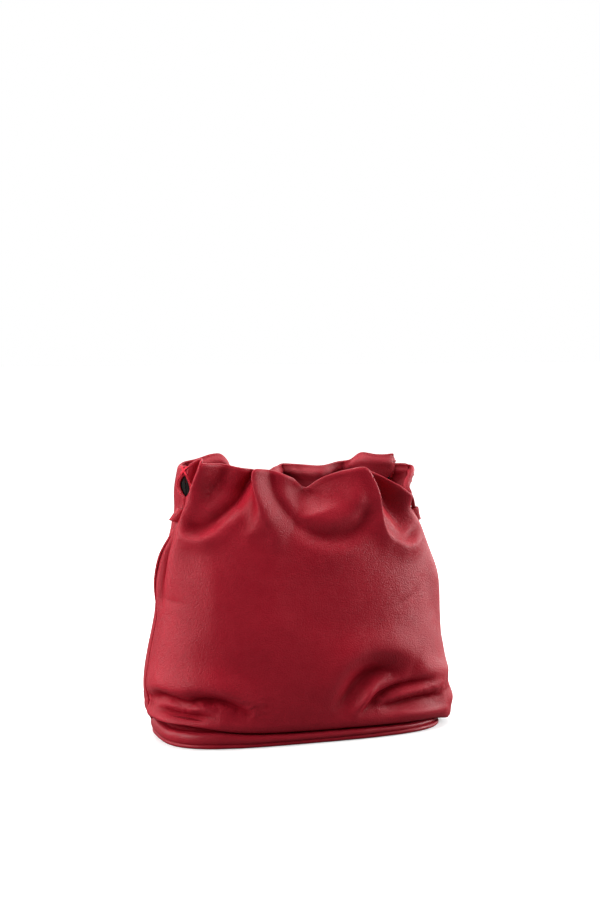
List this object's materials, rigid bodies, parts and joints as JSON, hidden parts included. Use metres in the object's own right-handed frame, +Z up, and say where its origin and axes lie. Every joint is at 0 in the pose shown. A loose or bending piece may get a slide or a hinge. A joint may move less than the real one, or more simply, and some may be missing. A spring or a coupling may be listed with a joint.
{
  "type": "bucket bag",
  "caption": "Soft red leather bucket bag on an oval base, with a gathered drawstring mouth, slit sides with keeper loops, lining and base board.",
  "frame": {"origin": "on the floor under the middle of the oval base", "axes": "+Z up, front face of the bag towards -Y, +X along the base's long side towards the drawstring ends"},
  "size_m": [0.2913, 0.141, 0.2497],
  "materials": {
    "red_leather": "soft nappa, fine grain, semi-matte sheen",
    "facing_leather": "matte leather facing",
    "cord_leather": "rolled leather cord, satin",
    "lining_cloth": "matte woven lining",
    "board_fibre": "pressed fibre board, matte",
    "thread": "waxed bright red thread"
  },
  "bodies": {
    "bag_body": {"base_panel": "red_leather", "base_piping": "red_leather", "base_band": "red_leather", "base_board": "board_fibre", "base_lining": "lining_cloth", "front_panel": "red_leather", "back_panel": "red_leather", "left_seam_welt": "red_leather", "right_seam_welt": "red_leather", "front_lining": "lining_cloth", "back_lining": "lining_cloth", "left_rim_facing": "facing_leather", "right_rim_facing": "facing_leather", "left_bar_tack": "thread", "right_bar_tack": "thread", "left_keeper_loop": "red_leather", "right_keeper_loop": "red_leather", "drawstring_left_turn": "cord_leather", "drawstring_exit_front": "cord_leather", "drawstring_exit_back": "cord_leather"},
    "front_mouth": {"front_panel_top": "red_leather", "front_lining_top": "lining_cloth", "front_rim_facing": "facing_leather", "drawstring_front_run": "cord_leather"},
    "back_mouth": {"back_panel_top": "red_leather", "back_lining_top": "lining_cloth", "back_rim_facing": "facing_leather", "drawstring_back_run": "cord_leather"},
    "drawstring_ends": {"drawstring_tail_front": "cord_leather", "drawstring_tail_back": "cord_leather"}
  },
  "joints": [
    {"name": "mouth_close_front", "type": "hinge", "parent": "bag_body", "child": "front_mouth", "pos_m": [0, -0.046, 0.15], "axis": [-1, 0, 0], "range_deg": [-7, 13]},
    {"name": "mouth_close_back", "type": "hinge", "parent": "bag_body", "child": "back_mouth", "pos_m": [0, 0.046, 0.15], "axis": [1, 0, 0], "range_deg": [-7, 13]},
    {"name": "drawstring_pull", "type": "slide", "parent": "bag_body", "child": "drawstring_ends", "axis": [0.2494, 0, -0.9684], "range_m": [-0.0125, 0.0228]}
  ],
  "couplings": [
    {"joint": "mouth_close_back", "follows": "mouth_close_front", "ratio": 1},
    {"joint": "drawstring_pull", "follows": "mouth_close_front", "m_per_rad": 0.1}
  ]
}
